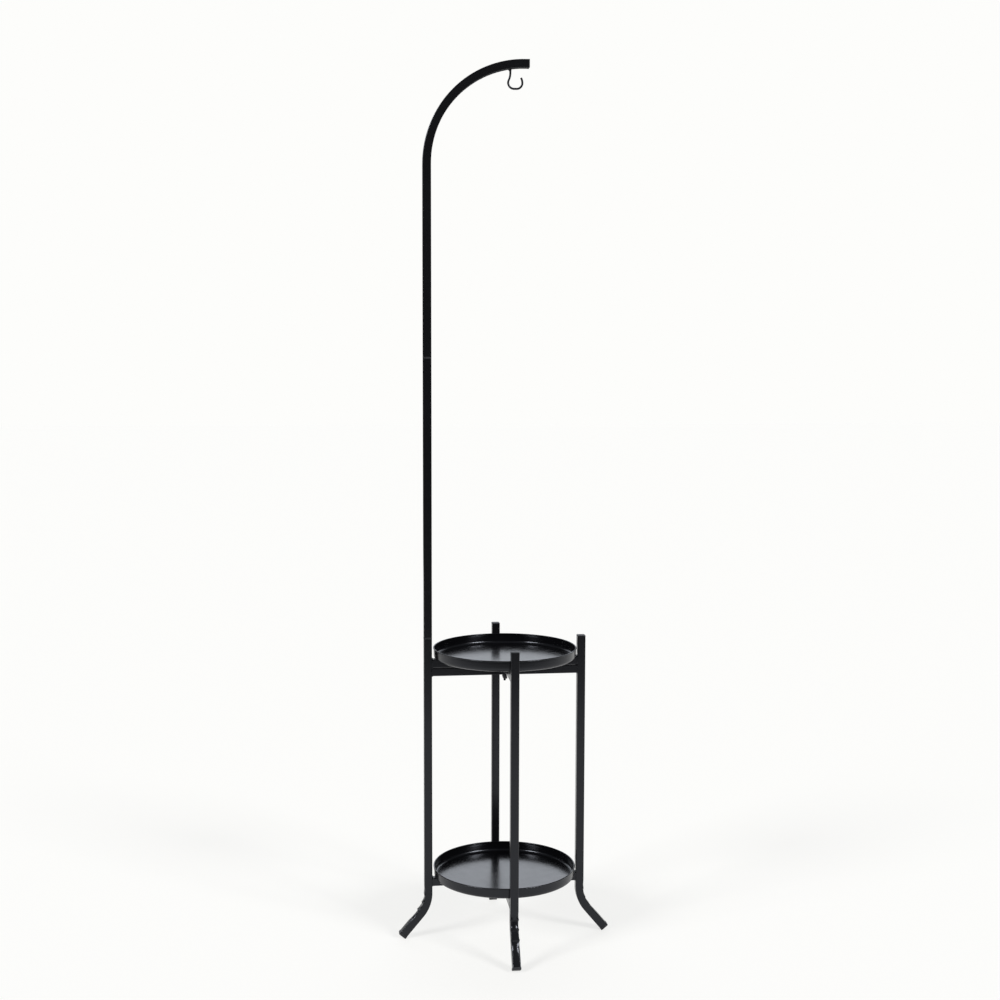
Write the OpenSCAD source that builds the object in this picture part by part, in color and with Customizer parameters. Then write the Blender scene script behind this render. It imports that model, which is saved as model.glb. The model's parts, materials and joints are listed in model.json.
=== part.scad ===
// Hanging plant stand: two welded tube frames crossed on one bolt, two round
// trays, and a plug-in pole that bends over into an arm with a hook.
// Origin on the floor under the middle of the stand, +Z up. The pole stands
// on the -X leg and its arm reaches towards +X. Millimetres.

/* [Tube] */
// Outer width of the square tube
tube_w = 16; // [12:0.5:20]
// Wall of the square tube
tube_wall = 1.2; // [1:0.1:2]
// Outer corner radius of the square tube
tube_corner = 1.5; // [1:0.1:2]

/* [Legs] */
// Distance from the stand's axis to the centre of each leg
leg_radius = 152.5; // [150:0.5:170]
// Height of the legs' cut tops
leg_top = 604; // [580:1:700]
// Height at which the legs start to bend outward
bend_height = 92; // [85:1:110]
// Centre-line radius of the foot bend
foot_bend_r = 68; // [50:1:75]
// Angle of the left and right feet from the vertical, in degrees
side_foot_angle = 40; // [28:1:45]
// Angle of the front and back feet from the vertical, in degrees
cross_foot_angle = 30; // [28:1:45]

/* [Crossbars] */
// Height of the plane that carries the upper tray
upper_rest = 564; // [540:1:566]
// Height of the plane that carries the lower tray
lower_rest = 122; // [118:1:200]
// Length of the four short seats that keep the trays level
seat_length = 65; // [50:1:68]
// Gap kept under a tray by the tubes of the swinging frame
swing_gap = 0.3; // [0.2:0.05:0.5]

/* [Trays] */
// Diameter of a tray over its rim
tray_d = 283; // [270:1:284]
// Height of a tray
tray_h = 21.5; // [20:0.5:30]
// Thickness of the tray sheet
tray_sheet = 1; // [0.8:0.1:1.5]
// Radius of the bend between a tray's floor and its wall
tray_corner = 7; // [4:0.5:8]
// How far a tray's wall leans out from floor to rim
tray_lean = 0.3; // [0:0.1:3]
// Radius of the rolled rim
rim_r = 1.3; // [1.1:0.1:1.6]

/* [Pole and arm] */
// Length of the straight pole section
pole_length = 543; // [500:1:600]
// Height of the collar between two pole sections
collar_h = 4; // [3:0.5:6]
// Straight length of the arm section before its bend
arm_rise = 366; // [340:1:400]
// Centre-line radius of the arm's bend
arm_bend_r = 189; // [170:1:196]
// Straight length after the arm's bend
arm_tail = 5.5; // [4:0.5:20]
// Length of each half of a joining plug
plug_length = 35; // [30:1:50]

/* [Hook] */
// Diameter of the hook's wire
wire_d = 4; // [3.5:0.1:5]
// Centre-line radius of the bends at both sides of the hook's loop
hook_r = 11.2; // [10:0.1:13]
// Straight stretch at the bottom of the loop
hook_flat = 4.9; // [3:0.1:7]
// Position of the hook's neck along X
hook_x = 7.5; // [4:0.1:12]
// Straight drop of the hook's neck
hook_drop = 6.5; // [5:0.1:12]

/* [Centre bolt] */
// Diameter of the centre bolt
bolt_d = 5; // [4:0.5:6]
// Length of the bolt that stands out below the side bar
bolt_tail = 13; // [12:0.5:18]
// Turn of the wing nut at rest, in degrees
nut_turn = 108; // [0:1:180]

/* [Hidden] */
$fn = 64;

// Directions of the four legs round the stand's axis
right = 0;
back = 90;
left = 180;
front = 270;

half_w = tube_w / 2;
bore_w = tube_w - 2 * tube_wall;
bore_corner = tube_corner - tube_wall + 0.3;
bar_reach = leg_radius - half_w;

// Plugs and caps
plug_play = 0.15;
cap_sheet = 2;
cap_edge = 0.7;
arm_cap_lip = 0.3;
foot_cap_t = 5;
foot_lip = 0.4;
foot_flat = 0.8;
cap_plug = 12;

// A foot's angle, the height at which its tube's centre line ends over the
// cap's worn lowest corner, and the straight length of tube after its bend
function foot_angle(direction) = direction % 180 == 0 ? side_foot_angle : cross_foot_angle;
function foot_end_z(angle) = foot_cap_t * cos(angle) + (half_w + foot_lip) * sin(angle) - foot_flat;
function foot_run(angle) = (bend_height - foot_bend_r * sin(angle) - foot_end_z(angle)) / cos(angle);

// Levels of the crossbars, each the underside of its tube
spacer_t = 1;
upper_cross_z = upper_rest - swing_gap - tube_w;
upper_side_z = upper_cross_z - spacer_t - tube_w;
upper_seat_z = upper_rest - tube_w;
lower_side_z = lower_rest - tube_w;
lower_seat_z = lower_rest - swing_gap - tube_w;

// Centre bolt
bolt_play = 0.05;
head_d = 9.5;
head_h = 2.8;
socket_d = 3.5;
socket_deep = 1.6;
head_door = 11.4;
washer_d = 12;
washer_t = 1.2;
nut_h = 7.4;
nut_base_d = 9.6;
nut_nose_d = 7.2;
wing_reach = 11.5;
wing_t = 1.8;
wing_knuckle = 2.9;
wing_drop = 4.3;
head_z = upper_cross_z + tube_wall;
nut_z = upper_side_z - washer_t;

// Pole and arm
pole_z = leg_top + collar_h;
arm_z = pole_z + pole_length + collar_h;
arm_centre_z = arm_z + arm_rise;
arm_centre_x = arm_bend_r - leg_radius;
arm_end_x = arm_centre_x + arm_tail;

// Hook: the neck hangs from the arm's underside, cut to its slope. A sway leads
// the wire out to the loop, whose bottom is flat, and the tip leans back in.
hook_sway = 25;
hook_sway_r = 33.6;
hook_tip_r = 18.7;
hook_tip_turn = 30;
wire_sides = 16;
under_arm_r = arm_bend_r - half_w;
hook_slope = asin((arm_centre_x - hook_x) / under_arm_r);
weld_reach = 5.5;
weld_drop = 5.5;
weld_w = 5;
weld_gap = 0.06;

// The hook's centre line as [x, z] points, from the arm to the tip
function arc(centre, radius, from, to, steps) =
    [for (i = [0 : steps]) let (a = from + (to - from) * i / steps) centre + radius * [cos(a), sin(a)]];
hook_top = [hook_x, arm_centre_z + under_arm_r * cos(hook_slope)];
sway_centre = hook_top - [hook_sway_r, hook_drop];
loop_start = sway_centre + (hook_sway_r + hook_r) * [cos(hook_sway), -sin(hook_sway)];
loop_end = loop_start + [hook_flat, 0];
tip_centre = loop_end + [hook_r - hook_tip_r, 0];
hook_line = [
    hook_top,
    each arc(sway_centre, hook_sway_r, 0, -hook_sway, 5),
    each arc(loop_start, hook_r, 186 - hook_sway, 270, 12),
    each arc(loop_end, hook_r, 270, 354, 10),
    each arc(tip_centre, hook_tip_r, 0, hook_tip_turn, 5)
];

coat = "#2b2d30";
tray_coat = "#323438";
plastic = "#3a3c3f";
steel = "#55585c";
nylon = "#44464a";

// ---- Sections and runs of tube -------------------------------------------

module rounded_square(width, corner) {
    inner = width - 2 * corner;
    square([width, inner], center = true);
    square([inner, width], center = true);
    for (x = [-1, 1], y = [-1, 1])
        translate([x * inner / 2, y * inner / 2]) circle(corner);
}

// The tube's wall, drawn thinner by slim on both its faces
module tube_section(slim = 0) {
    difference() {
        rounded_square(tube_w - 2 * slim, tube_corner);
        rounded_square(bore_w + 2 * slim, bore_corner);
    }
}

// A straight tube from the origin up along +Z
module tube_run(length) {
    linear_extrude(length) tube_section();
}

// The same, sunk a little way into the wall of the bend that it follows
module tube_run_after_bend(length) {
    lap = 0.5;
    translate([0, 0, -lap]) linear_extrude(length + lap) tube_section(0.01);
}

// A bend that starts at the origin, heads along +Z and turns towards +X
module tube_bend(radius, turn) {
    translate([radius, 0, 0])
        rotate([90, 0, 180])
            rotate_extrude(angle = turn) translate([radius, 0]) tube_section();
}

// Moves what follows to the end of that bend
module after_bend(radius, turn) {
    translate([radius * (1 - cos(turn)), 0, radius * sin(turn)])
        rotate([0, turn, 0]) children();
}

// A plug of the tube's bore from z = -depth to 0, hollow from below
module bore_plug(depth) {
    width = bore_w - 2 * plug_play;
    translate([0, 0, -depth])
        linear_extrude(depth)
            difference() {
                rounded_square(width, bore_corner);
                rounded_square(width - 3, bore_corner);
            }
}

// The head of a plug, wider than the tube by a lip on each side, with its top
// edge stepped in
module plug_head(height, lip = 0) {
    width = tube_w + 2 * lip;
    linear_extrude(height - cap_edge) rounded_square(width, tube_corner);
    translate([0, 0, height - cap_edge])
        linear_extrude(cap_edge) rounded_square(width - 2 * cap_edge, tube_corner);
}

// ---- Legs ----------------------------------------------------------------

module at_leg(direction) {
    rotate([0, 0, direction]) translate([leg_radius, 0, 0]) children();
}

// Moves what follows to a foot's cut end, with +Z along the tube and outward
module at_foot(direction) {
    at_leg(direction)
        translate([0, 0, bend_height])
            mirror([0, 0, 1])
                after_bend(foot_bend_r, foot_angle(direction))
                    translate([0, 0, foot_run(foot_angle(direction))]) children();
}

module leg(direction) {
    angle = foot_angle(direction);
    color(coat)
        at_leg(direction)
            translate([0, 0, bend_height]) {
                tube_run(leg_top - bend_height);
                mirror([0, 0, 1]) {
                    tube_bend(foot_bend_r, angle);
                    after_bend(foot_bend_r, angle) tube_run_after_bend(foot_run(angle));
                }
            }
}

module foot_cap(direction) {
    color(plastic)
        intersection() {
            at_foot(direction) {
                bore_plug(cap_plug);
                linear_extrude(foot_cap_t) rounded_square(tube_w + 2 * foot_lip, tube_corner);
            }
            translate([-tray_d, -tray_d, 0]) cube([2 * tray_d, 2 * tray_d, tray_d]);
        }
}

module leg_cap(direction) {
    color(plastic)
        at_leg(direction)
            translate([0, 0, leg_top]) {
                bore_plug(cap_plug);
                plug_head(cap_sheet);
            }
}

// ---- Crossbars -----------------------------------------------------------

// A tube that lies along a direction between two distances from the axis
module bar(direction, underside, start, end) {
    color(coat)
        rotate([0, 0, direction])
            translate([start, 0, underside + half_w])
                rotate([0, 90, 0]) tube_run(end - start);
}

module bolt_hole(diameter, z, length) {
    translate([0, 0, z]) cylinder(d = diameter, h = length);
}

module bar_upper_side() {
    difference() {
        bar(right, upper_side_z, -bar_reach, bar_reach);
        bolt_hole(bolt_d + 2 * bolt_play, upper_side_z - 1, tube_w + 2);
    }
}

module bar_lower_side() {
    bar(right, lower_side_z, -bar_reach, bar_reach);
}

module bar_upper_cross() {
    difference() {
        bar(back, upper_cross_z, -bar_reach, bar_reach);
        bolt_hole(bolt_d + 2 * bolt_play, upper_cross_z - 1, tube_w / 2);
        bolt_hole(head_door, upper_cross_z + half_w, tube_w);
    }
}

module seat(direction, underside) {
    bar(direction, underside, bar_reach - seat_length, bar_reach);
}

// ---- Centre bolt ---------------------------------------------------------

module pivot_bolt() {
    color(steel) {
        translate([0, 0, head_z])
            difference() {
                cylinder(d = head_d, h = head_h);
                translate([0, 0, head_h - socket_deep]) cylinder(d = socket_d, h = head_h, $fn = 6);
            }
        tail = head_z - upper_side_z + bolt_tail;
        translate([0, 0, head_z - tail]) cylinder(d = bolt_d, h = tail);
    }
}

module ring(outer_d, bore_d, z, height) {
    translate([0, 0, z])
        difference() {
            cylinder(d = outer_d, h = height);
            translate([0, 0, -1]) cylinder(d = bore_d, h = height + 2);
        }
}

module pivot_spacer() {
    color(nylon) ring(washer_d + 1, bolt_d + 4 * bolt_play, upper_side_z + tube_w, spacer_t);
}

module pivot_washer() {
    color(steel) ring(washer_d, bolt_d + 4 * bolt_play, nut_z, washer_t);
}

// The flat outline of both wings, drawn from the nut's bearing face down
module wing_outline() {
    knuckle_x = wing_reach - wing_knuckle;
    for (x = [-knuckle_x, knuckle_x]) {
        translate([x, -wing_drop]) circle(wing_knuckle);
        polygon([[0, -1], [x, wing_knuckle - wing_drop],
                 [x, -wing_knuckle - wing_drop], [0, 0.5 - nut_h]]);
    }
}

module wing_nut() {
    color(steel)
        translate([0, 0, nut_z])
            rotate([0, 0, nut_turn])
                difference() {
                    union() {
                        mirror([0, 0, 1]) cylinder(d1 = nut_base_d, d2 = nut_nose_d, h = nut_h);
                        translate([0, wing_t / 2, 0])
                            rotate([90, 0, 0]) linear_extrude(wing_t) wing_outline();
                    }
                    translate([0, 0, -nut_h - 1]) cylinder(d = bolt_d + 2 * bolt_play, h = nut_h + 2);
                }
}

// ---- Trays ---------------------------------------------------------------

// Half of a tray's cross-section: floor, bend, leaning wall and rolled rim
module tray_profile() {
    rim_x = tray_d / 2 - rim_r;
    foot_x = rim_x + tray_sheet / 2 - tray_lean;
    square([foot_x - tray_corner, tray_sheet]);
    translate([foot_x - tray_corner, tray_corner])
        intersection() {
            difference() {
                circle(tray_corner);
                circle(tray_corner - tray_sheet);
            }
            translate([0, -tray_corner]) square(tray_corner);
        }
    wall_top = tray_h - rim_r;
    polygon([[foot_x - tray_sheet, tray_corner], [foot_x, tray_corner],
             [rim_x + tray_sheet / 2, wall_top], [rim_x - tray_sheet / 2, wall_top]]);
    translate([rim_x, wall_top]) circle(rim_r);
}

module tray(z) {
    color(tray_coat) translate([0, 0, z]) rotate_extrude($fn = 128) tray_profile();
}

// ---- Pole and arm --------------------------------------------------------

// A joining plug: its collar sits on the lower tube and carries the upper one
module joining_plug(z) {
    color(plastic)
        at_leg(left)
            translate([0, 0, z]) {
                bore_plug(plug_length);
                linear_extrude(collar_h) rounded_square(tube_w, tube_corner);
                translate([0, 0, collar_h]) mirror([0, 0, 1]) bore_plug(plug_length);
            }
}

module pole_tube() {
    color(coat) at_leg(left) translate([0, 0, pole_z]) tube_run(pole_length);
}

module pole_arm() {
    color(coat)
        translate([-leg_radius, 0, arm_z]) {
            tube_run(arm_rise);
            translate([0, 0, arm_rise]) {
                tube_bend(arm_bend_r, 90);
                after_bend(arm_bend_r, 90) tube_run(arm_tail);
            }
        }
}

module arm_cap() {
    color(plastic)
        translate([arm_end_x, 0, arm_centre_z + arm_bend_r])
            rotate([0, 90, 0]) {
                bore_plug(cap_plug);
                plug_head(cap_sheet, arm_cap_lip);
            }
}

// ---- Hook ----------------------------------------------------------------

// Round wire along a centre line in the XZ plane. Its first end is cut square
// to start_heading, which may differ from the line's own, and its last is square.
module wire(line, start_heading) {
    last = len(line) - 1;
    heading = [
        start_heading,
        for (i = [1 : last])
            let (d = line[min(i + 1, last)] - line[i - 1]) d / norm(d)
    ];
    points = [
        for (i = [0 : last], k = [0 : wire_sides - 1])
            let (a = 360 * k / wire_sides, side = cos(a) * wire_d / 2)
                [line[i].x - heading[i].y * side, sin(a) * wire_d / 2, line[i].y + heading[i].x * side]
    ];
    walls = [
        for (i = [0 : last - 1], k = [0 : wire_sides - 1])
            let (n = (k + 1) % wire_sides, a = i * wire_sides, b = a + wire_sides)
                each [[a + k, a + n, b + n], [a + k, b + n, b + k]]
    ];
    start_face = [for (k = [wire_sides - 1 : -1 : 0]) k];
    end_face = [for (k = [0 : wire_sides - 1]) last * wire_sides + k];
    polyhedron(points = points, faces = concat(walls, [start_face, end_face]));
}

// The weld's fillet between the arm's underside and the left of the neck
module hook_weld() {
    translate([hook_top.x, 0, hook_top.y])
        rotate([0, -hook_slope, 0])
            translate([0, weld_w / 2, -weld_gap])
                rotate([90, 0, 0])
                    linear_extrude(weld_w)
                        polygon([[0, 0], [-weld_reach, 0], [-wire_d / 3, -weld_drop], [0, -weld_drop]]);
}

module hook() {
    color(coat) {
        wire(hook_line, [sin(hook_slope), -cos(hook_slope)]);
        hook_weld();
    }
}

// ---- The parts -----------------------------------------------------------

leg(left);  // leg_left
leg(right);  // leg_right
leg(front);  // leg_front
leg(back);  // leg_back
bar_upper_side();
bar_lower_side();
bar_upper_cross();
seat(left, upper_seat_z);  // seat_left
seat(right, upper_seat_z);  // seat_right
seat(front, lower_seat_z);  // seat_front
seat(back, lower_seat_z);  // seat_back
foot_cap(left);  // foot_cap_left
foot_cap(right);  // foot_cap_right
foot_cap(front);  // foot_cap_front
foot_cap(back);  // foot_cap_back
leg_cap(right);  // leg_cap_right
leg_cap(front);  // leg_cap_front
leg_cap(back);  // leg_cap_back
pivot_bolt();
pivot_spacer();
pivot_washer();
wing_nut();
tray(upper_rest);  // tray_upper
tray(lower_rest);  // tray_lower
joining_plug(leg_top);  // plug_lower
pole_tube();
joining_plug(pole_z + pole_length);  // plug_upper
pole_arm();
arm_cap();
hook();
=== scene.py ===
"""The finished look of a black steel plant stand with a pole and a hanging arm.

Lengths are in metres in the model's own frame: +Z up, the pole on the -X leg and
the front leg towards -Y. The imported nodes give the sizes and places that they
hold; the values below are the ones that no box of a node can tell.
"""
import json
import math

import bmesh
import bpy
from mathutils import Matrix, Vector, noise


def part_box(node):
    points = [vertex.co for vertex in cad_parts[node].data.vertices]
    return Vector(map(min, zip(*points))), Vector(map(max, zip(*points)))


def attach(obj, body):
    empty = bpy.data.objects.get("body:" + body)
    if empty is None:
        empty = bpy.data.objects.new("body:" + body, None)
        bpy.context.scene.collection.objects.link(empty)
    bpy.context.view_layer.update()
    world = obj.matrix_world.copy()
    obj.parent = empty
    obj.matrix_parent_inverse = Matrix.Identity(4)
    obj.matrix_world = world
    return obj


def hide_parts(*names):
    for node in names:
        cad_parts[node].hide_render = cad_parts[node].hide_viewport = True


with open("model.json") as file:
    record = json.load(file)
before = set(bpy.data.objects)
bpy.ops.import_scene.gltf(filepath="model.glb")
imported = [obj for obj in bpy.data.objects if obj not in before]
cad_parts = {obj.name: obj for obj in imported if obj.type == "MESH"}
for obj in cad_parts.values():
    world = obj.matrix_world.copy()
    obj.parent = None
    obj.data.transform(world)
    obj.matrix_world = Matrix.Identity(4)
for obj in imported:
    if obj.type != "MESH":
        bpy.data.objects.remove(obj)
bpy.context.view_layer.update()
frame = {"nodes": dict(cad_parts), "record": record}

MM = 0.001
X_AXIS = Vector((1, 0, 0))
Y_AXIS = Vector((0, 1, 0))
UP = Vector((0, 0, 1))

# The camera, solved from the photograph for an image of 1000 x 1000
LENS = 54.36
SENSOR = 36.0
CAMERA_DISTANCE = 2.9377
CAMERA_HEIGHT = 1.1726
CAMERA_AZIMUTH = math.radians(7.202)
CAMERA_YAW = math.radians(-0.198)
CAMERA_PITCH = math.radians(5.761)
CAMERA_ROLL = math.radians(0.148)

# Square tube and its places, from the nodes where they tell
TUBE_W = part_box("pole_tube")[1].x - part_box("pole_tube")[0].x
HALF = TUBE_W / 2
WALL = 1.2 * MM
TUBE_CORNER = 1.5 * MM
BORE_CORNER = TUBE_CORNER - WALL + 0.3 * MM
LEG_RADIUS = (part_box("leg_cap_right")[0].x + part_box("leg_cap_right")[1].x) / 2
LEG_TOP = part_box("leg_left")[1].z


# ---- Meshes ----------------------------------------------------------------

def smooth(x):
    """0 below 0, 1 above 1, and an S-shaped rise between."""
    x = min(max(x, 0.0), 1.0)
    return x * x * (3 - 2 * x)


def circle(steps):
    """Equally spaced angles once round."""
    return [2 * math.pi * i / steps for i in range(steps)]


def rounding(steps=6):
    """(1 - cosine, 1 - sine) at equal steps through a quarter turn, for rounded edges."""
    angles = [math.pi / 2 * i / steps for i in range(steps + 1)]
    return [(1 - math.cos(a), 1 - math.sin(a)) for a in angles]


def arc(centre, radius, start, end, steps):
    """Points on an arc, angles in degrees."""
    points = []
    for i in range(steps + 1):
        a = math.radians(start + (end - start) * i / steps)
        points.append(Vector(centre) + radius * Vector((math.cos(a), math.sin(a))))
    return points


def rounded_square(half, corner, flat_steps=4, corner_steps=6):
    """Points (u, v) round a square with rounded corners, anticlockwise."""
    inner = half - corner
    points = []
    for quarter in range(4):
        turn = Matrix.Rotation(quarter * math.pi / 2, 2)
        for i in range(flat_steps + 1):
            points.append(turn @ Vector((half, -inner + 2 * inner * i / flat_steps)))
        for i in range(1, corner_steps):
            a = math.pi / 2 * i / corner_steps
            points.append(turn @ Vector((inner + corner * math.cos(a), inner + corner * math.sin(a))))
    return points


def add_ring(bm, points):
    return [bm.verts.new(p) for p in points]


def level_ring(bm, radii, height, base=0.0):
    """A ring round +Z, height over base, with a radius for each of its equally
    spaced points."""
    points = []
    for a, radius in zip(circle(len(radii)), radii):
        points.append(UP * base + Vector((radius * math.cos(a), radius * math.sin(a), height)))
    return add_ring(bm, points)


def join_rings(bm, a, b):
    """A band of faces between two rings of equally many points."""
    n = len(a)
    for i in range(n):
        j = (i + 1) % n
        bm.faces.new((a[i], a[j], b[j], b[i]))


def join_all(bm, rings):
    for a, b in zip(rings, rings[1:]):
        join_rings(bm, a, b)


def join_closed(bm, rings):
    """Bands between the rings, and a flat face over the first and the last."""
    join_all(bm, rings)
    bm.faces.new(rings[0])
    bm.faces.new(rings[-1])


def lathe(bm, profile, steps, base=0.0, closed=True):
    """Turns (radius, height over base) points round +Z; a radius of 0 becomes one
    point. A closed profile also joins its last point to its first."""
    rings = []
    for radius, height in profile:
        if radius == 0:
            rings.append([bm.verts.new(UP * base + UP * height)])
            continue
        rings.append(level_ring(bm, [radius] * steps, height, base))
    pairs = list(zip(rings, rings[1:]))
    if closed:
        pairs.append((rings[-1], rings[0]))
    for a, b in pairs:
        if len(a) == len(b):
            join_rings(bm, a, b)
            continue
        point, ring = (a[0], b) if len(a) == 1 else (b[0], a)
        for i in range(steps):
            bm.faces.new((point, ring[i], ring[(i + 1) % steps]))


def new_mesh(name, bm):
    """A mesh from bm, its faces turned outward; bm is used up."""
    bmesh.ops.recalc_face_normals(bm, faces=bm.faces)
    mesh = bpy.data.meshes.new(name)
    bm.to_mesh(mesh)
    bm.free()
    return mesh


def new_object(name, data):
    made = bpy.data.objects.new(name, data)
    bpy.context.scene.collection.objects.link(made)
    return made


def finish_piece(name, shape, body, slot, replaced=(), sharp=35):
    """Turns a bmesh or a mesh into a shaded piece that rides on a body and stands
    for nodes; edges steeper than sharp degrees stay crisp."""
    mesh = new_mesh(name, shape) if isinstance(shape, bmesh.types.BMesh) else shape
    for face in mesh.polygons:
        face.use_smooth = True
    mesh.set_sharp_from_angle(angle=math.radians(sharp))
    piece = new_object(name, mesh)
    mesh.materials.append(MATERIALS[slot])
    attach(piece, body)
    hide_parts(*replaced)


# ---- Materials -------------------------------------------------------------

# The band of a noise over which a patchy look goes from one end to the other
PATCHES = (0.3, 0.7)
# The coat's and the plastic's gloss is a little blue
COOL = (0.86, 0.90, 1.0, 1)
COAT_IOR = 1.5
PLASTIC_IOR = 1.49
PLASTIC_SPECULAR = 0.4
PLASTIC_GRAIN = 0.02 * MM
STEEL_MARKS = 0.015 * MM
MARKS_STRETCH = (1, 1, 8)


def add_node(tree, kind, inputs=None, **settings):
    """A node of a kind, with settings, and with values or links as its inputs."""
    node = tree.nodes.new(kind)
    for key, value in settings.items():
        setattr(node, key, value)
    for key, value in (inputs or {}).items():
        if isinstance(value, bpy.types.NodeSocket):
            tree.links.new(value, node.inputs[key])
        else:
            node.inputs[key].default_value = value
    return node


def noise_of(tree, where, scale, detail=2.0, rough=0.5, distortion=0.0):
    inputs = {"Vector": where, "Scale": scale, "Detail": detail, "Roughness": rough,
              "Distortion": distortion}
    return add_node(tree, "ShaderNodeTexNoise", inputs).outputs["Fac"]


def ranged(tree, value, source, target=(0.0, 1.0), kind="LINEAR"):
    """The value, carried from the source range over to the target range."""
    inputs = {"Value": value, "From Min": source[0], "From Max": source[1],
              "To Min": target[0], "To Max": target[1]}
    return add_node(tree, "ShaderNodeMapRange", inputs, interpolation_type=kind).outputs["Result"]


def combined(tree, operation, a, b, **settings):
    return add_node(tree, "ShaderNodeMath", {0: a, 1: b}, operation=operation, **settings).outputs[0]


def mixed_value(tree, factor, a, b, kind="FLOAT"):
    inputs = {"Factor": factor, "A": a, "B": b}
    return add_node(tree, "ShaderNodeMix", inputs, data_type=kind).outputs["Result"]


def mixed_colour(tree, factor, a, b):
    return mixed_value(tree, factor, (*a, 1), (*b, 1), "RGBA")


def glowing(tree, strength):
    inputs = {"Color": (*WHITE, 1), "Strength": strength}
    return add_node(tree, "ShaderNodeEmission", inputs).outputs[0]


def mixed_shader(tree, factor, a, b):
    return add_node(tree, "ShaderNodeMixShader", {0: factor, 1: a, 2: b}).outputs[0]


def bumped(tree, height, distance, **more):
    inputs = {"Height": height, "Strength": 1.0, "Distance": distance, **more}
    return add_node(tree, "ShaderNodeBump", inputs).outputs[0]


def object_point(tree):
    return add_node(tree, "ShaderNodeTexCoord").outputs["Object"]


def new_material(name):
    material = bpy.data.materials.new(name)
    material.use_nodes = True
    tree = material.node_tree
    tree.nodes.clear()
    return material, tree


def close_surface(tree, shader):
    add_node(tree, "ShaderNodeOutputMaterial", {"Surface": shader})


def close_principled(tree, colour, gloss, normal, more):
    inputs = {"Base Color": colour, "Roughness": gloss, "Normal": normal, **more}
    close_surface(tree, add_node(tree, "ShaderNodeBsdfPrincipled", inputs).outputs[0])


def powder_coat(name, dark, light, gloss, peel, grain, specular):
    """Baked-on powder: an orange-peel skin a millimetre across, a finer grain,
    and a colour and gloss that drift a little from place to place."""
    material, tree = new_material(name)
    where = object_point(tree)
    drift = noise_of(tree, where, scale=9.0, detail=3.0, rough=0.55)
    speckle = noise_of(tree, where, scale=2600.0, detail=1.0)
    tone = combined(tree, "ADD", drift, speckle)
    colour = mixed_colour(tree, ranged(tree, tone, (0.75, 1.25)), dark, light)
    patches = noise_of(tree, where, scale=60.0, detail=4.0, rough=0.6)
    skin = noise_of(tree, where, scale=620.0, detail=2.0, rough=0.45, distortion=0.6)
    coarse = bumped(tree, skin, peel)
    close_principled(tree, colour, ranged(tree, patches, PATCHES, gloss),
                     bumped(tree, speckle, grain, Normal=coarse),
                     {"IOR": COAT_IOR, "Specular IOR Level": specular, "Specular Tint": COOL})
    return material


def moulded_plastic(name, dark, light, gloss):
    """Black moulded plastic with the fine grain of its mould."""
    material, tree = new_material(name)
    where = object_point(tree)
    drift = noise_of(tree, where, scale=140.0, detail=3.0)
    colour = mixed_colour(tree, ranged(tree, drift, (0.35, 0.65)), dark, light)
    patches = noise_of(tree, where, scale=400.0, detail=3.0)
    grain = noise_of(tree, where, scale=3200.0, detail=2.0, rough=0.6)
    close_principled(tree, colour, ranged(tree, patches, PATCHES, gloss),
                     bumped(tree, grain, PLASTIC_GRAIN),
                     {"IOR": PLASTIC_IOR, "Specular IOR Level": PLASTIC_SPECULAR,
                      "Specular Tint": COOL})
    return material


def plated_steel(name, dark, light, gloss):
    """Dark zinc plating with fine turning marks; the darker patches are duller."""
    material, tree = new_material(name)
    where = object_point(tree)
    patches = noise_of(tree, where, scale=350.0, detail=4.0, rough=0.6)
    colour = mixed_colour(tree, ranged(tree, patches, PATCHES), dark, light)
    stretched = add_node(tree, "ShaderNodeMapping", {"Vector": where, "Scale": MARKS_STRETCH})
    marks = noise_of(tree, stretched.outputs[0], scale=900.0, detail=2.0)
    dulled = ranged(tree, patches, PATCHES, tuple(reversed(gloss)))
    close_principled(tree, colour, dulled, bumped(tree, marks, STEEL_MARKS), {"Metallic": 1.0})
    return material


MATERIALS = {
    "frame_coat": powder_coat(
        "frame_coat", dark=(0.0046, 0.0046, 0.0052), light=(0.0058, 0.0058, 0.0066),
        gloss=(0.20, 0.25), peel=0.004 * MM, grain=0.001 * MM, specular=0.37),
    "tray_coat": powder_coat(
        "tray_coat", dark=(0.0020, 0.0020, 0.0025), light=(0.0030, 0.0030, 0.0037),
        gloss=(0.18, 0.23), peel=0.002 * MM, grain=0.0005 * MM, specular=0.42),
    "plug_plastic": moulded_plastic(
        "plug_plastic", dark=(0.012, 0.012, 0.0125), light=(0.017, 0.017, 0.018), gloss=(0.48, 0.56)),
    "washer_nylon": moulded_plastic(
        "washer_nylon", dark=(0.020, 0.020, 0.021), light=(0.028, 0.028, 0.030), gloss=(0.45, 0.55)),
    "bolt_steel": plated_steel(
        "bolt_steel", dark=(0.030, 0.030, 0.032), light=(0.055, 0.055, 0.060), gloss=(0.28, 0.42)),
}


# ---- Legs ------------------------------------------------------------------

# Each leg: its direction round the stand, its foot's angle, and how hard the
# press has crimped the inside of the foot bend
LEGS = {
    "right": (math.radians(0), math.radians(40), 0.45),
    "back": (math.radians(90), math.radians(30), 0.8),
    "left": (math.radians(180), math.radians(40), 1.0),
    "front": (math.radians(270), math.radians(30), 1.25),
}
FRAME_OF = {"left": "pole_frame", "right": "pole_frame", "front": "cross_frame", "back": "cross_frame"}
BEND_HEIGHT = 92 * MM
BEND_RADIUS = 68 * MM

# The foot's plastic cap, and how much of its lowest corner is worn off
FOOT_CAP = 5 * MM
FOOT_LIP = 0.4 * MM
FOOT_WEAR = 0.8 * MM

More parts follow.
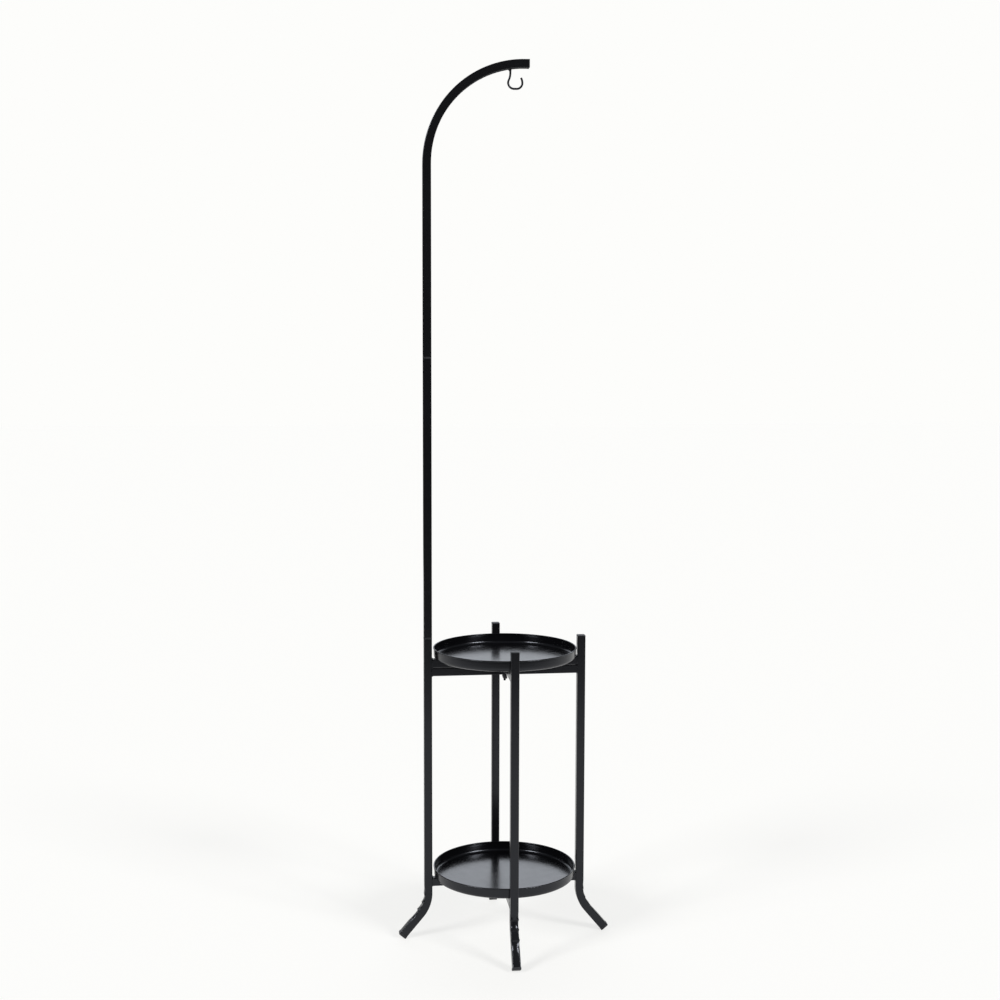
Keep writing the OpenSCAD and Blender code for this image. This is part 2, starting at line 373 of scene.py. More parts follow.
# Places along a leg count from the start of its bend, down the tube.
# Each ridge of the crimps: its place, its height, and the depth of the pocket
# that the press leaves RIDGE_FALL below it
RIDGES = (
    (4 * MM, 0.6 * MM, 1.1 * MM),
    (24.5 * MM, 1.3 * MM, 1.0 * MM),
    (45 * MM, 1.4 * MM, 0.9 * MM),
)
RIDGE_FALL = 2.6 * MM
CRIMP_RUN = 12 * MM
# A pocket is deeper in the middle of the face than at its sides
POCKET_MIDDLE = 1.15
POCKET_RISE = 0.45
# Between the ridges the face is crowned, so that its sides catch the light: the
# place of each crown, and how far it spreads
CROWNS = ((-5 * MM, 5 * MM), (17 * MM, 7 * MM), (59 * MM, 10 * MM))
CROWN = 2.0 * MM
# The sides bulge at each ridge, and are pinched from PINCH_START to PINCH_END
EAR = 0.9 * MM
EAR_REACH = 2.4 * MM
PINCH = 0.25 * MM
PINCH_START, PINCH_IN = -6 * MM, 10 * MM
PINCH_END, PINCH_OUT = 60 * MM, 8 * MM
# How far the ridges wander out of square, and the noise's scale across and along
WANDER = 1.6 * MM
WANDER_ACROSS = 160
WANDER_ALONG = 40

# Stations down a leg
STRAIGHT_STOPS = (-0.40, -0.25, -0.10, -0.03)
FINE_START, FINE_STEP, FINE_COUNT = -14 * MM, 0.75 * MM, 105
WIDE_START, WIDE_STEP, WIDE_COUNT = 67 * MM, 3 * MM, 6
LAST_STEP = 8 * MM


def leg_axes(direction):
    """The way that a leg's foot points, and the way across it."""
    outward = Vector((math.cos(direction), math.sin(direction), 0))
    return outward, Vector((-outward.y, outward.x, 0))


def foot_run(angle):
    """Straight length of tube after the bend, so that the worn cap meets the floor."""
    end_z = FOOT_CAP * math.cos(angle) + (HALF + FOOT_LIP) * math.sin(angle) - FOOT_WEAR
    return (BEND_HEIGHT - BEND_RADIUS * math.sin(angle) - end_z) / math.cos(angle)


def leg_station(t, angle):
    """Centre (r, z) and lean of a leg's tube at t."""
    if t <= 0:
        return LEG_RADIUS, BEND_HEIGHT - t, 0.0
    lean = min(t / BEND_RADIUS, angle)
    r = LEG_RADIUS + BEND_RADIUS * (1 - math.cos(lean))
    z = BEND_HEIGHT - BEND_RADIUS * math.sin(lean)
    past = max(t - BEND_RADIUS * angle, 0.0)
    return r + past * math.sin(lean), z - past * math.cos(lean), lean


def leg_section(side, t):
    """Centre of a leg's tube at t, the way to the face inside the bend, and the way
    down the tube."""
    direction, angle, _ = LEGS[side]
    outward, _ = leg_axes(direction)
    r, z, lean = leg_station(t, angle)
    inner = outward * math.cos(lean) + UP * math.sin(lean)
    down = outward * math.sin(lean) - UP * math.cos(lean)
    return outward * r + UP * z, inner, down


def crimp_height(t):
    """Height of the crimped inner face over a plain tube: slow rises, sharp falls."""
    knots = [(-CRIMP_RUN, 0.0)]
    for place, height, depth in RIDGES:
        knots += [(place, height), (place + RIDGE_FALL, -depth)]
    knots.append((knots[-1][0] + CRIMP_RUN, 0.0))
    for (t0, h0), (t1, h1) in zip(knots, knots[1:]):
        if t0 <= t <= t1:
            share = (t - t0) / (t1 - t0)
            return h0 + (h1 - h0) * (smooth(share) if h1 < h0 else share)
    return 0.0


def ear_width(t):
    return sum(EAR * math.exp(-((t - place) / EAR_REACH) ** 2) for place, _, _ in RIDGES)


def crown_height(t):
    return sum(CROWN * math.exp(-((t - place) / reach) ** 2) for place, reach in CROWNS)


def crimped(u, v, t, strength, seed):
    """Where the press has moved a point (u, v) of the tube's section at t."""
    inner = smooth(u / HALF)
    if inner == 0:
        return u, v
    wander = noise.noise(Vector((v * WANDER_ACROSS, t * WANDER_ALONG, seed)))
    t = t + WANDER * wander * inner
    rise = crimp_height(t)
    across = (v / HALF) ** 2
    if rise < 0:
        rise *= POCKET_MIDDLE - POCKET_RISE * across
    rise -= crown_height(t) * across
    pinch = PINCH * smooth((t - PINCH_START) / PINCH_IN) * smooth((PINCH_END - t) / PINCH_OUT)
    spread = ear_width(t) - pinch
    return u + strength * rise * inner, v + strength * spread * inner ** 2 * v / HALF


def leg_places(angle):
    """Places of a leg's stations, close together only where the press has worked."""
    end = BEND_RADIUS * angle + foot_run(angle)
    places = [BEND_HEIGHT - LEG_TOP, *STRAIGHT_STOPS]
    places += [FINE_START + FINE_STEP * i for i in range(FINE_COUNT)]
    places += [WIDE_START + WIDE_STEP * i for i in range(WIDE_COUNT)]
    return places + [end - LAST_STEP, end]


def make_leg(side):
    direction, angle, strength = LEGS[side]
    _, sideways = leg_axes(direction)
    bm = bmesh.new()
    ends = []
    for skin in (rounded_square(HALF, TUBE_CORNER), rounded_square(HALF - WALL, BORE_CORNER)):
        rings = []
        for t in leg_places(angle):
            centre, inner, _ = leg_section(side, t)
            ring = []
            for point in skin:
                u, v = crimped(point.x, point.y, t, strength, direction)
                ring.append(centre + inner * u + sideways * v)
            rings.append(add_ring(bm, ring))
        join_all(bm, rings)
        ends.append((rings[0], rings[-1]))
    for outside, inside in zip(*ends):
        join_rings(bm, outside, inside)
    finish_piece(f"bent_tube_{side}", bm, FRAME_OF[side], "frame_coat", [f"leg_{side}"], sharp=50)


# ---- Caps and plugs --------------------------------------------------------

CAP_PLUG = 12 * MM
CAP_EDGE = 1.1 * MM
# The head's foot is drawn in a little, and its corners open as its edge rounds
HEAD_FOOT = 0.25 * MM
HEAD_FOOT_INSET = 0.35 * MM
EDGE_CORNER = 0.6
# The gate mark is a shallow dimple in the middle of the head
GATE_R = 1.1 * MM
GATE_DEEP = 0.25 * MM
GATE_TAPER = 0.15 * MM
GATE_FLAT = 1.5 * MM
GATE_FLAT_CORNER = 1.4 * MM

PLUG_PLAY = 0.15 * MM
PLUG_CHAMFER = 1.2 * MM
PLUG_LEAD = 1.5 * PLUG_CHAMFER
# The barbs of a joining plug: their height, and where each one peaks and ends.
# The first starts at BARB_START, the last the plug's depth less BARB_ENDS further
BARBS = 3
BARB = 0.12 * MM
BARB_PEAK = 0.6 * MM
BARB_END = 0.9 * MM
BARB_START = 5 * MM
BARB_ENDS = 8 * MM
COLLAR_GROOVE = 0.3 * MM


def head_profile(height, half):
    """(distance out, half width, corner) of a moulded head, down to its gate mark."""
    profile = [(0.0, half - HEAD_FOOT_INSET, TUBE_CORNER), (HEAD_FOOT, half, TUBE_CORNER)]
    for inward, down in rounding():
        inset = CAP_EDGE * inward
        profile.append((height - CAP_EDGE * down, half - inset, TUBE_CORNER + EDGE_CORNER * inset))
    profile.append((height, GATE_R + GATE_FLAT, GATE_R + GATE_FLAT_CORNER))
    profile.append((height, GATE_R, GATE_R))
    profile.append((height - GATE_DEEP, GATE_R - GATE_TAPER, GATE_R - GATE_TAPER))
    return profile


def plug_profile(depth, barbs=0):
    """The same for a plug that reaches depth into the bore, with barbs on it."""
    half = HALF - WALL - PLUG_PLAY
    profile = [(-depth, half - PLUG_CHAMFER, BORE_CORNER), (-depth + PLUG_LEAD, half, BORE_CORNER)]
    for i in range(barbs):
        place = -depth + BARB_START + (depth - BARB_ENDS) * i / (barbs - 1)
        profile += [(place, half, BORE_CORNER), (place + BARB_PEAK, half + BARB, BORE_CORNER),
                    (place + BARB_END, half, BORE_CORNER)]
    profile.append((0.0, half, BORE_CORNER))
    return profile


def stack_squares(bm, profile, origin, out, u_axis):
    """Rounded squares stacked along out, closed flat at both ends."""
    v_axis = out.cross(u_axis)
    rings = []
    for distance, half, corner in profile:
        centre = origin + out * distance
        points = rounded_square(half, corner)
        rings.append(add_ring(bm, [centre + u_axis * p.x + v_axis * p.y for p in points]))
    join_closed(bm, rings)


def make_cap(name, node, body, origin, out, u_axis, height, half, on_floor=False):
    """A head with its plug; on the floor, its lowest corner is worn flat."""
    bm = bmesh.new()
    stack_squares(bm, plug_profile(CAP_PLUG) + head_profile(height, half), origin, out, u_axis)
    if on_floor:
        for vert in bm.verts:
            vert.co.z = max(vert.co.z, 0.0)
    finish_piece(name, bm, body, "plug_plastic", [node])


def make_foot_cap(side):
    _, angle, _ = LEGS[side]
    origin, inner, down = leg_section(side, BEND_RADIUS * angle + foot_run(angle))
    make_cap(f"moulded_foot_{side}", f"foot_cap_{side}", FRAME_OF[side], origin, down, inner,
             FOOT_CAP, HALF + FOOT_LIP, on_floor=True)


def make_leg_cap(side):
    lo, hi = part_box(f"leg_cap_{side}")
    centre = (lo + hi) / 2
    origin = Vector((centre.x, centre.y, LEG_TOP))
    make_cap(f"moulded_top_{side}", f"leg_cap_{side}", FRAME_OF[side], origin, UP, X_AXIS,
             hi.z - LEG_TOP, HALF)


def make_arm_cap():
    arm_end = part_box("pole_arm")[1]
    lo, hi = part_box("arm_cap")
    origin = Vector((arm_end.x, 0, arm_end.z - HALF))
    make_cap("moulded_arm_end", "arm_cap", "arm", origin, X_AXIS, UP,
             hi.x - arm_end.x, (hi.z - lo.z) / 2)


def make_joining_plug(node, body, below, above):
    """A collar between two tubes, with a barbed plug into each."""
    lo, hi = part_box(node)
    centre = (lo + hi) / 2
    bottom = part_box(below)[1].z
    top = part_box(above)[0].z
    lower = plug_profile(bottom - lo.z, BARBS)
    upper = plug_profile(hi.z - top, BARBS)
    profile = [(bottom + d, half, corner) for d, half, corner in lower]
    grooved = HALF - COLLAR_GROOVE
    profile += [(bottom, grooved, TUBE_CORNER), (bottom + COLLAR_GROOVE, HALF, TUBE_CORNER),
                (top - COLLAR_GROOVE, HALF, TUBE_CORNER), (top, grooved, TUBE_CORNER)]
    profile += [(top - d, half, corner) for d, half, corner in reversed(upper)]
    bm = bmesh.new()
    stack_squares(bm, profile, Vector((centre.x, centre.y, 0)), UP, X_AXIS)
    finish_piece(f"moulded_{node}", bm, body, "plug_plastic", [node])


# ---- Trays -----------------------------------------------------------------

SHEET = 1 * MM
TRAY_CORNER = 7 * MM
RIM_R = 1.3 * MM
# The rolled rim sits on the wall, from a groove outside it round to its inner
# face; angles in degrees, and the groove's drop in the rim's radii
RIM_START, RIM_END = -62, 212
RIM_GROOVE = 0.1 * MM
RIM_GROOVE_DROP = 1.05
TRAY_LEAN = 0.3 * MM
TRAY_STEPS = 192
FLOOR_STOPS = (20 * MM, 60 * MM, 100 * MM, 120 * MM)
WALL_SHARES = (0.25, 0.5, 0.75)
# How far out of true the wall runs: a share for each count of lobes, with the
# turn that the seed gives it. Inside TRUE_R the floor is true
OUT_OF_TRUE = 0.06 * MM
LOBES = ((1.0, 3, 1), (0.6, 7, 2), (0.4, 13, 5))
TRUE_R = 60 * MM
TRUE_FADE = 70 * MM


def tray_profile(outer_r, height):
    """(radius, height) points once round the sheet: floor, bend, wall and rolled rim."""
    rim_x = outer_r - RIM_R
    wall_top = height - RIM_R
    foot_x = rim_x + SHEET / 2 - TRAY_LEAN
    bend = (foot_x - TRAY_CORNER, TRAY_CORNER)

    def wall(x, shares):
        rise = wall_top - TRAY_CORNER
        return [(x + TRAY_LEAN * share, TRAY_CORNER + rise * share) for share in shares]

    profile = [(0.0, 0.0)]
    profile += [(r, 0.0) for r in FLOOR_STOPS]
    profile += arc(bend, TRAY_CORNER, -90, 0, steps=10)
    profile += wall(foot_x, WALL_SHARES)
    profile.append((rim_x + SHEET / 2 - RIM_GROOVE, wall_top - RIM_GROOVE_DROP * RIM_R))
    profile += arc((rim_x, wall_top), RIM_R, RIM_START, RIM_END, steps=22)
    profile += wall(foot_x - SHEET, reversed(WALL_SHARES))
    profile += arc(bend, TRAY_CORNER - SHEET, 0, -90, steps=10)
    profile += [(r, SHEET) for r in reversed(FLOOR_STOPS)]
    profile.append((0.0, SHEET))
    return profile


def make_tray(level, seed):
    """A pressed and coated steel dish; its wall runs a hair out of true."""
    node = f"tray_{level}"
    lo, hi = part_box(node)
    bm = bmesh.new()
    lathe(bm, tray_profile(hi.x, hi.z - lo.z), TRAY_STEPS, base=lo.z, closed=False)
    for vert in bm.verts:
        radius = math.hypot(vert.co.x, vert.co.y)
        if radius < TRUE_R:
            continue
        a = math.atan2(vert.co.y, vert.co.x)
        lobes = sum(share * math.sin(count * a + turn * seed) for share, count, turn in LOBES)
        moved = -OUT_OF_TRUE * (1 + lobes / 2) * smooth((radius - TRUE_R) / TRUE_FADE)
        vert.co.x += moved * math.cos(a)
        vert.co.y += moved * math.sin(a)
    finish_piece(f"pressed_{node}", bm, f"{level}_tray", "tray_coat", [node])


# ---- Hook ------------------------------------------------------------------

WIRE_R = 2 * MM
WIRE_CHAMFER = 0.3 * MM
# The wire leaves the arm at HOOK_X and drops straight; it sways aside, goes round
# the loop with a flat at its bottom, and ends in a wider curve. Turns in degrees
HOOK_X = 7.5 * MM
HOOK_DROP = 6.5 * MM
SWAY = 25
SWAY_R = 33.6 * MM
HOOK_R = 11.2 * MM
HOOK_FLAT = 4.9 * MM
TIP_R = 18.7 * MM
TIP_TURN = 30
ARM_BEND_R = 189 * MM
UNDER_ARM_R = ARM_BEND_R - HALF


def under_arm(x):
    """Height of the arm's underside at x, in its bend."""
    centre = Vector((ARM_BEND_R - LEG_RADIUS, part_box("pole_arm")[1].z - HALF - ARM_BEND_R))
    return centre.y + math.sqrt(UNDER_ARM_R ** 2 - (centre.x - x) ** 2)


def hook_line():
    """The wire's centre line in the XZ plane, from inside the arm's wall to the tip."""
    top = Vector((HOOK_X, under_arm(HOOK_X)))
    sway = top - Vector((SWAY_R, HOOK_DROP))
    turned = math.radians(SWAY)
    start = sway + (SWAY_R + HOOK_R) * Vector((math.cos(turned), -math.sin(turned)))
    end = start + Vector((HOOK_FLAT, 0))
    tip = end + Vector((HOOK_R - TIP_R, 0))
    line = [top + Vector((0, WALL / 2)), top - Vector((0, HOOK_DROP / 2))]
    line += arc(sway, SWAY_R, 0, -SWAY, steps=10)
    line += arc(start, HOOK_R, 180 - SWAY, 270, steps=24)[1:]
    line += arc(end, HOOK_R, 270, 360, steps=20)
    line += arc(tip, TIP_R, 0, TIP_TURN, steps=10)[1:]
    return line


def round_sweep(bm, line, radii, normal, steps):
    """A round bar along a line that is flat across normal, with a radius for each
    of its points."""
    last = len(line) - 1
    rings = []
    for i, point in enumerate(line):
        heading = (line[min(i + 1, last)] - line[max(i - 1, 0)]).normalized()
        across = heading.cross(normal).normalized()
        turned = [across * math.cos(a) + normal * math.sin(a) for a in circle(steps)]
        rings.append(add_ring(bm, [point + radii[i] * way for way in turned]))
    join_closed(bm, rings)


def make_hook():
    line = [Vector((p.x, 0, p.y)) for p in hook_line()]
    line.append(line[-1] + (line[-1] - line[-2]).normalized() * WIRE_CHAMFER)
    radii = [WIRE_R] * (len(line) - 1) + [WIRE_R - WIRE_CHAMFER]
    bm = bmesh.new()
    round_sweep(bm, line, radii, Y_AXIS, steps=24)
    finish_piece("formed_hook", bm, "arm", "frame_coat", ["hook"], sharp=40)


# ---- Welds -----------------------------------------------------------------

# The bars' ends that are welded to legs. A bead is full over and under the bar,
# and thin where the bar is flush with the leg's sides
WELDS = {
    "pole_frame": (("left", "bar_upper_side"), ("right", "bar_upper_side"), ("left", "seat_left"),
                   ("right", "seat_right"), ("left", "bar_lower_side"), ("right", "bar_lower_side")),
    "cross_frame": (("front", "bar_upper_cross"), ("back", "bar_upper_cross"),
                    ("front", "seat_front"), ("back", "seat_back")),
}
SEED_STEP = 3.7
FULL_BEAD = 2.0 * MM
FLUSH_BEAD = 0.75 * MM
FLUSH_FROM = 4.5 * MM
FLUSH_FADE = 3 * MM
# How far a bead's core sits inside the bar's outline, and off the leg, in shares
# of its radius
CORE_ASIDE = 0.35
CORE_UPRIGHT = 0.1
CORE_OFF_LEG = 0.25
BEAD_STEPS = 10
# Ripples of the torch, and a slower unevenness
RIPPLE = 0.05
RIPPLE_PITCH = 1.3 * MM
UNEVEN = 0.22
UNEVEN_SCALE = 260
UNEVEN_LAYER = 0.5


def bead_radius(base, place, seed):
    ripple = RIPPLE * math.sin(place / RIPPLE_PITCH * 2 * math.pi)
    uneven = UNEVEN * noise.noise(Vector((place * UNEVEN_SCALE, seed, UNEVEN_LAYER)))
    return base * (1 + ripple + uneven)


def add_joint_bead(bm, direction, underside, seed):
    """A fillet round the end of a bar where it meets the inside of a leg."""
    outward, sideways = leg_axes(direction)
    centre = outward * (LEG_RADIUS - HALF) + UP * (underside + HALF)
    outline = rounded_square(HALF, TUBE_CORNER, flat_steps=10, corner_steps=4)
    rings = []
    place = 0.0
    for i, point in enumerate(outline):
        place += (point - outline[i - 1]).length
        flush = smooth((abs(point.y) - FLUSH_FROM) / FLUSH_FADE)
        radius = bead_radius(FULL_BEAD * (1 - flush) + FLUSH_BEAD * flush, place, seed)
        normal = point.normalized()
        core = centre + sideways * (point.y - CORE_ASIDE * radius * normal.y)
        core += UP * (point.x - CORE_UPRIGHT * radius * normal.x) - outward * CORE_OFF_LEG * radius
        around = sideways * normal.y + UP * normal.x
        turned = [around * math.cos(a) + outward * math.sin(a) for a in circle(BEAD_STEPS)]
        rings.append(add_ring(bm, [core + radius * way for way in turned]))
    join_all(bm, rings + [rings[0]])


def make_bar_beads():
    """One piece of beads for each welded frame."""
    for body, ends in WELDS.items():
        bm = bmesh.new()
        for i, (side, node) in enumerate(ends):
            add_joint_bead(bm, LEGS[side][0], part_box(node)[0].z, i * SEED_STEP)
        finish_piece(f"weld_beads_{body}", bm, body, "frame_coat", sharp=70)


# The hook's weld: how far it runs down the wire and spreads on the arm
HOOK_BEAD_DROP = 6.5 * MM
HOOK_BEAD_SUNK = 0.3 * MM
HOOK_BEAD_LEFT = 3.6 * MM
HOOK_BEAD_RIGHT = 0.8 * MM
HOOK_BEAD_SIDE = 1.1 * MM
HOOK_BEAD_NECK = 0.97 * WIRE_R
HOOK_BEAD_FALL = 2.2
HOOK_BEAD_LUMP = 0.16
HOOK_BEAD_LUMPS = (2, 2, 5)
HOOK_BEAD_RINGS = 18
HOOK_BEAD_STEPS = 32


def make_hook_bead():
    """The weld's fillet that spreads from the neck on to the arm's underside."""
    bm = bmesh.new()
    rings = []
    lumps_x, lumps_y, lumps_down = HOOK_BEAD_LUMPS
    for i in range(HOOK_BEAD_RINGS + 1):
        share = i / HOOK_BEAD_RINGS
        drop = HOOK_BEAD_DROP * share - HOOK_BEAD_SUNK
        spread = (1 - share) ** HOOK_BEAD_FALL
        ring = []
        for a in circle(HOOK_BEAD_STEPS):
            where = Vector((lumps_x * math.cos(a), lumps_y * math.sin(a), lumps_down * share))
            lump = 1 + HOOK_BEAD_LUMP * noise.noise(where)
            reach = HOOK_BEAD_RIGHT if math.cos(a) > 0 else HOOK_BEAD_LEFT
            x = HOOK_X + math.cos(a) * (HOOK_BEAD_NECK + reach * spread * lump)
            y = math.sin(a) * (HOOK_BEAD_NECK + HOOK_BEAD_SIDE * spread * lump)
            ring.append(Vector((x, y, under_arm(x) - drop)))
        rings.append(add_ring(bm, ring))
    join_closed(bm, rings)
    finish_piece("weld_bead_hook", bm, "arm", "frame_coat", sharp=70)


# ---- Centre bolt -----------------------------------------------------------

BOLT_R = 2.5 * MM
BOLT_SIDES = 24
# The button head: its edge is rounded HEAD_CROWN inward and HEAD_EDGE down
HEAD_H = 2.8 * MM
HEAD_EDGE = 1.0 * MM
HEAD_CROWN = 1.6 * HEAD_EDGE
SOCKET_R = 1.75 * MM
SOCKET_DEEP = 1.6 * MM
SOCKET_RIM = 2.4 * MM
# The thread is cut out of the shank in rings THREAD_STEP apart, over THREAD_LENGTH
# up from the tip, and fades in over its first rings
PITCH = 0.8 * MM
THREAD_DEEP = 0.42 * MM
THREAD_LENGTH = 22 * MM
THREAD_STEP = 0.1 * MM
THREAD_FADE = 12
TIP_H = 0.5 * MM
TIP_TAPER = 0.3 * MM

WASHER_PLAY = 0.1 * MM
WASHER_EDGE = 0.2 * MM

# The wing nut, seen from its flat top: a cone that narrows downward, two ears
# that end in round knuckles, and the turn that the nut stopped at
NUT_TURN = math.radians(108)
NUT_BASE_R = 4.8 * MM
NUT_EDGE_IN = 0.1 * MM
NUT_EDGE_DOWN = 0.5 * MM
NUT_NOSE_R = 3.6 * MM
NUT_PLAY = 0.05 * MM
WING_REACH = 11.5 * MM
WING_DROP = 4.3 * MM
WING_T = 1.8 * MM
WING_KNUCKLE = 2.9 * MM
# Half the knuckle's thickness, and the thickness and height of the web that
# joins it to the cone, at its tip and at its root
KNUCKLE_HALF_T = 0.62 * WING_T
WEB_TIP_T, WEB_TIP_H = 0.9 * WING_T, 5.0 * MM
WEB_ROOT_T, WEB_ROOT_H = 1.1 * WING_T, 6.0 * MM
WEB_ROOT_X = 1.5 * MM
# The voxels and the smoothing that melt cone and ears together
MELT_VOXEL = 0.3 * MM
MELT_FACTOR = 0.6
MELT_ROUNDS = 8


def make_bolt():
    """From the hexagon socket out over the button head and down to the thread's tip."""
    lo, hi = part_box("pivot_bolt")
    head_r = hi.x
    head_z = hi.z - HEAD_H
    thread_top = lo.z + THREAD_LENGTH
    hexagon = []
    for a in circle(BOLT_SIDES):
        fold = (a % (math.pi / 3)) - math.pi / 6
        hexagon.append(SOCKET_R * math.cos(math.pi / 6) / math.cos(fold))
    profile = [(SOCKET_RIM, hi.z)]
    profile += [(head_r - HEAD_CROWN * inward, hi.z - HEAD_EDGE * down) for down, inward in rounding()]
    profile += [(head_r, head_z), (BOLT_R, head_z), (BOLT_R, thread_top + PITCH)]
    bm = bmesh.new()
    rings = [level_ring(bm, hexagon, height) for height in (hi.z - SOCKET_DEEP, hi.z)]
    rings += [level_ring(bm, [radius] * BOLT_SIDES, height) for radius, height in profile]
    for i in range(int((thread_top - lo.z - TIP_H) / THREAD_STEP) + 1):
        height = thread_top - THREAD_STEP * i
        radii = []
        for a in circle(BOLT_SIDES):
            turn = (height / PITCH - a / (2 * math.pi)) % 1.0
            radii.append(BOLT_R - THREAD_DEEP * (1 - abs(2 * turn - 1)) * smooth(i / THREAD_FADE))
        rings.append(level_ring(bm, radii, height))
    rings.append(level_ring(bm, [BOLT_R - THREAD_DEEP - TIP_TAPER] * BOLT_SIDES, lo.z))
    join_closed(bm, rings)
    finish_piece("threaded_bolt", bm, "cross_frame", "bolt_steel", ["pivot_bolt"], sharp=30)


def make_washer():
    lo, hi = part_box("pivot_washer")
    bore = BOLT_R + WASHER_PLAY
    outer = hi.x
    edge = WASHER_EDGE
    profile = [(bore, lo.z + edge), (bore + edge, lo.z), (outer - edge, lo.z), (outer, lo.z + edge),
               (outer, hi.z - edge), (outer - edge, hi.z), (bore + edge, hi.z), (bore, hi.z - edge)]
    bm = bmesh.new()
    lathe(bm, profile, steps=64)
    finish_piece("stamped_washer", bm, "pole_frame", "bolt_steel", ["pivot_washer"], sharp=30)


def evaluated_mesh(name, piece):
    """A new mesh with the piece's modifiers applied; the piece itself goes."""
    bpy.context.view_layer.update()
    depsgraph = bpy.context.evaluated_depsgraph_get()
    mesh = bpy.data.meshes.new_from_object(piece.evaluated_get(depsgraph))
    mesh.name = name
    bpy.data.objects.remove(piece)
    return mesh


def add_ear(bm, side, height):
    """A knuckle and the web that joins it to the cone, on one side of the nut."""
    knuckle = Vector((side * (WING_REACH - WING_KNUCKLE), 0, -WING_DROP))
    size = Matrix.Diagonal((WING_KNUCKLE, KNUCKLE_HALF_T, WING_KNUCKLE, 1))
    bmesh.ops.create_uvsphere(bm, u_segments=24, v_segments=16, radius=1,
                              matrix=Matrix.Translation(knuckle) @ size)
    tip = (abs(knuckle.x), WEB_TIP_T, WEB_TIP_H, -WING_DROP)
    root = (WEB_ROOT_X, WEB_ROOT_T, WEB_ROOT_H, -height / 2)
    for vert in bmesh.ops.create_cube(bm, size=1)["verts"]:
        x, thick, tall, middle = tip if vert.co.x > 0 else root
        vert.co = Vector((side * x, vert.co.y * thick, middle + vert.co.z * tall))


def make_wing_nut():
    """A cast nut: a cone and two ears, melted together, then bored."""
    lo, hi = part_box("wing_nut")
    height = hi.z - lo.z
    cone = [(0, 0), (NUT_BASE_R - NUT_EDGE_IN, 0), (NUT_BASE_R, -NUT_EDGE_DOWN),
            (NUT_NOSE_R, -height), (0, -height)]
    bm = bmesh.new()
    lathe(bm, cone, steps=48, closed=False)
    for side in (-1, 1):
        add_ear(bm, side, height)
    blank = new_object("nut_blank", new_mesh("nut_blank", bm))
    melt = blank.modifiers.new("melt", "REMESH")
    melt.mode = "VOXEL"
    melt.voxel_size = MELT_VOXEL
    relax = blank.modifiers.new("relax", "SMOOTH")
    relax.factor = MELT_FACTOR
    relax.iterations = MELT_ROUNDS
    bm = bmesh.new()
    bore_r = BOLT_R + NUT_PLAY
    bmesh.ops.create_cone(bm, cap_ends=True, segments=48, radius1=bore_r, radius2=bore_r,
                          depth=4 * height)
    bore = new_object("nut_bore", new_mesh("nut_bore", bm))
    drill = blank.modifiers.new("drill", "BOOLEAN")
    drill.operation = "DIFFERENCE"
    drill.object = bore
    drill.solver = "EXACT"
    mesh = evaluated_mesh("cast_wing_nut", blank)
    bpy.data.objects.remove(bore)
    mesh.transform(Matrix.Translation((0, 0, hi.z)) @ Matrix.Rotation(NUT_TURN, 4, "Z"))
    mesh.materials.clear()
    finish_piece("cast_wing_nut", mesh, "wing_nut", "bolt_steel", ["wing_nut"], sharp=45)


# ---- Stage, light and camera -----------------------------------------------

# The way from the camera over the stand, level
BACKDROP = Vector((math.sin(CAMERA_AZIMUTH), math.cos(CAMERA_AZIMUTH), 0))
WHITE = (0.982, 0.982, 0.966)

# The floor: its colour, how bright the lamps make it, and the share of it that
# the stand can shade. What is mirrored of it is painted dim, a painted shade that
# only reflections see, over the distances FLOOR_EDGE, from a point that is FLOOR_BEHIND beyond the
# stand
FLOOR_SIZE = 40.0
FLOOR_DROP = 0.05 * MM
FLOOR_DIFFUSE = (0.908, 0.896, 0.870, 1)
FLOOR_LIT = 0.85
SHADOW_SHARE = 0.32
FLOOR_BEHIND = 1.5
FLOOR_EDGE = (3.1, 4.5)
# The room's dim light, which is also the glow painted on the far floor where reflections see it
# (painted shade)
ROOM = 0.02

# The world, by where a ray from the stand heads: the heights over which the room
# turns into the ceiling and the backdrop's glow begins, and how nearly a ray has
# to head for the backdrop's middle, as a cosine
CEILING = 0.22
CEILING_RISE = (0.1, 0.9)
BACKDROP_FACING = (0.60, 0.80)
BACKDROP_RISE = (0.07, 0.30)
BACKDROP_GLOW = 2.0
BACKDROP_COLOUR = (0.90, 0.94, 1.0)

SUN_ANGLE = math.radians(51)
SUN_RISE = math.radians(29)
SUN_WIDTH = math.radians(18)
SUN_POWER = 2.0


def make_floor():
    """White when looked at, apart from the share that the stand can shade. What
    the coat mirrors of it far out is painted shade: a dim glow stands in its place."""
    material, tree = new_material("studio_floor")
    path = add_node(tree, "ShaderNodeLightPath").outputs
    glossy = path["Is Glossy Ray"]
    seen = combined(tree, "ADD", path["Is Camera Ray"], glossy)
    seen = combined(tree, "ADD", seen, path["Is Transmission Ray"], use_clamp=True)
    lit = add_node(tree, "ShaderNodeBsdfDiffuse", {"Color": FLOOR_DIFFUSE}).outputs[0]
    white = glowing(tree, (1 - SHADOW_SHARE * FLOOR_LIT) / (1 - SHADOW_SHARE))
    shown = mixed_shader(tree, ranged(tree, seen, (0, 1), (0, 1 - SHADOW_SHARE)), lit, white)
    distance = add_node(tree, "ShaderNodeVectorMath",
                        {0: object_point(tree), 1: BACKDROP * FLOOR_BEHIND}, operation="DISTANCE")
    far = ranged(tree, distance.outputs["Value"], FLOOR_EDGE, kind="SMOOTHSTEP")
    # Far out, glossy rays see a dim glow painted in place of the floor: painted shade
    painted_far_shade = combined(tree, "MULTIPLY", far, glossy)
    close_surface(tree, mixed_shader(tree, painted_far_shade, shown, glowing(tree, ROOM)))
    mesh = bpy.data.meshes.new("floor")
    half = FLOOR_SIZE / 2
    corners = [(-half, -half, 0), (half, -half, 0), (half, half, 0), (-half, half, 0)]
    mesh.from_pydata(corners, [], [(0, 1, 2, 3)])
    mesh.materials.append(material)
    floor = new_object("floor", mesh)
    floor.location.z = -FLOOR_DROP


